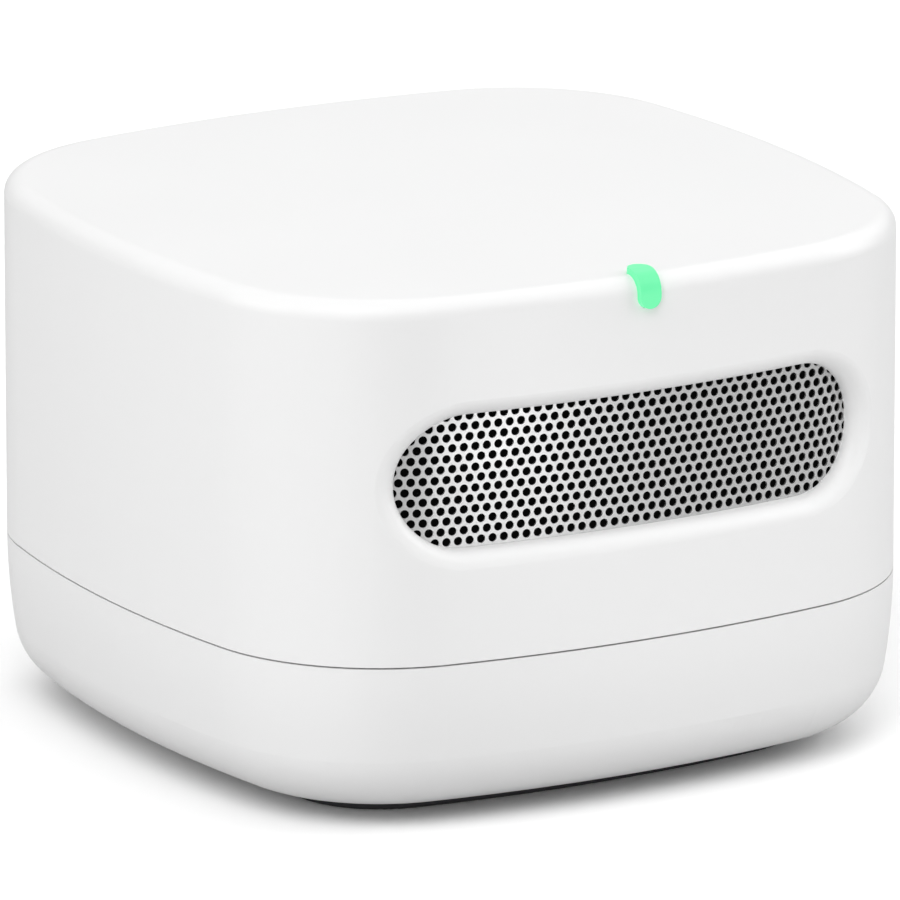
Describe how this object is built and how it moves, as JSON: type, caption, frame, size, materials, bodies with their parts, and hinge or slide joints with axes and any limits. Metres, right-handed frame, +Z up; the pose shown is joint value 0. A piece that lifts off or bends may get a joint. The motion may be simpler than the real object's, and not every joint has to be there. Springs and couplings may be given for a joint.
{
  "type": "smart home air quality monitor",
  "caption": "Compact rounded square indoor air quality monitor with a perforated front window, a lit status pipe over the top edge, rear button and socket",
  "frame": {"origin": "centre of the underside of the foot pad, on the surface the monitor stands on", "axes": "+Z up, the front with the grille window and the light pipe faces -Y, +X to the right seen from the front"},
  "size_m": [0.065, 0.0655, 0.0452],
  "materials": {
    "shell_white": "satin moulded plastic",
    "base_white": "satin moulded plastic",
    "grille_paint": "satin paint on perforated sheet",
    "filter_black": "matt nonwoven",
    "frame_black": "matt",
    "pipe_lit": "frosted, lit mint green",
    "led_resin": "clear resin",
    "button_white": "satin moulded plastic",
    "black_plastic": "matt",
    "steel": "bright plated",
    "board_green": "solder mask",
    "brass": "bright",
    "gold_contact": "gold plated",
    "can_metal": "satin",
    "grey_plastic": "matt",
    "ivory_plastic": "satin",
    "foam_grey": "soft foam",
    "foot_rubber": "matt rubber",
    "lens_glass": "clear",
    "cable_white": "flat flexible cable"
  },
  "bodies": {
    "casing": {"upper_shell": "shell_white", "lower_shell": "base_white", "foot_pad": "foot_rubber", "front_grille_mesh": "grille_paint", "rear_grille_mesh": "grille_paint", "front_dust_filter": "filter_black", "rear_dust_filter": "filter_black", "front_grille_retainer": "frame_black", "rear_grille_retainer": "frame_black", "light_pipe": "pipe_lit", "light_pipe_shroud": "black_plastic", "status_led": "led_resin", "button_switch_body": "steel", "button_board": "board_green", "usb_port_shell": "steel", "usb_port_tongue": "black_plastic", "usb_contacts": "gold_contact", "main_board": "board_green", "wifi_module_board": "board_green", "rf_shield_can": "steel", "wifi_antenna": "brass", "main_processor": "black_plastic", "power_inductor": "grey_plastic", "bulk_capacitors": "can_metal", "co_sensor_cell": "can_metal", "co_sensor_cap": "steel", "inner_frame": "grey_plastic", "sensor_board": "board_green", "voc_sensor": "steel", "humidity_temperature_sensor": "ivory_plastic", "cable_connectors": "ivory_plastic", "sensor_cable": "cable_white", "pm_sensor_case": "grey_plastic", "pm_sensor_lid": "grey_plastic", "pm_sensor_board": "board_green", "laser_module": "brass", "laser_lens": "lens_glass", "photodetector": "black_plastic", "inlet_duct_gasket": "foam_grey", "outlet_duct_gasket": "foam_grey", "fan_stator": "black_plastic", "base_screws": "steel", "frame_screws": "steel", "board_screws": "steel", "sensor_screws": "steel"},
    "button": {"button_cap": "button_white", "switch_plunger": "black_plastic"},
    "fan_rotor": {"fan_impeller": "black_plastic", "fan_shaft": "steel"}
  },
  "joints": [
    {"name": "button_press", "type": "slide", "parent": "casing", "child": "button", "axis": [0, -1, 0], "range_m": [0, 0.00035], "stiffness_N_per_m": 1200, "springref_m": -0.0002},
    {"name": "fan_spin", "type": "hinge", "parent": "casing", "child": "fan_rotor", "pos_m": [0.008, 0.013, 0.0274], "axis": [0, 1, 0], "continuous": true}
  ]
}
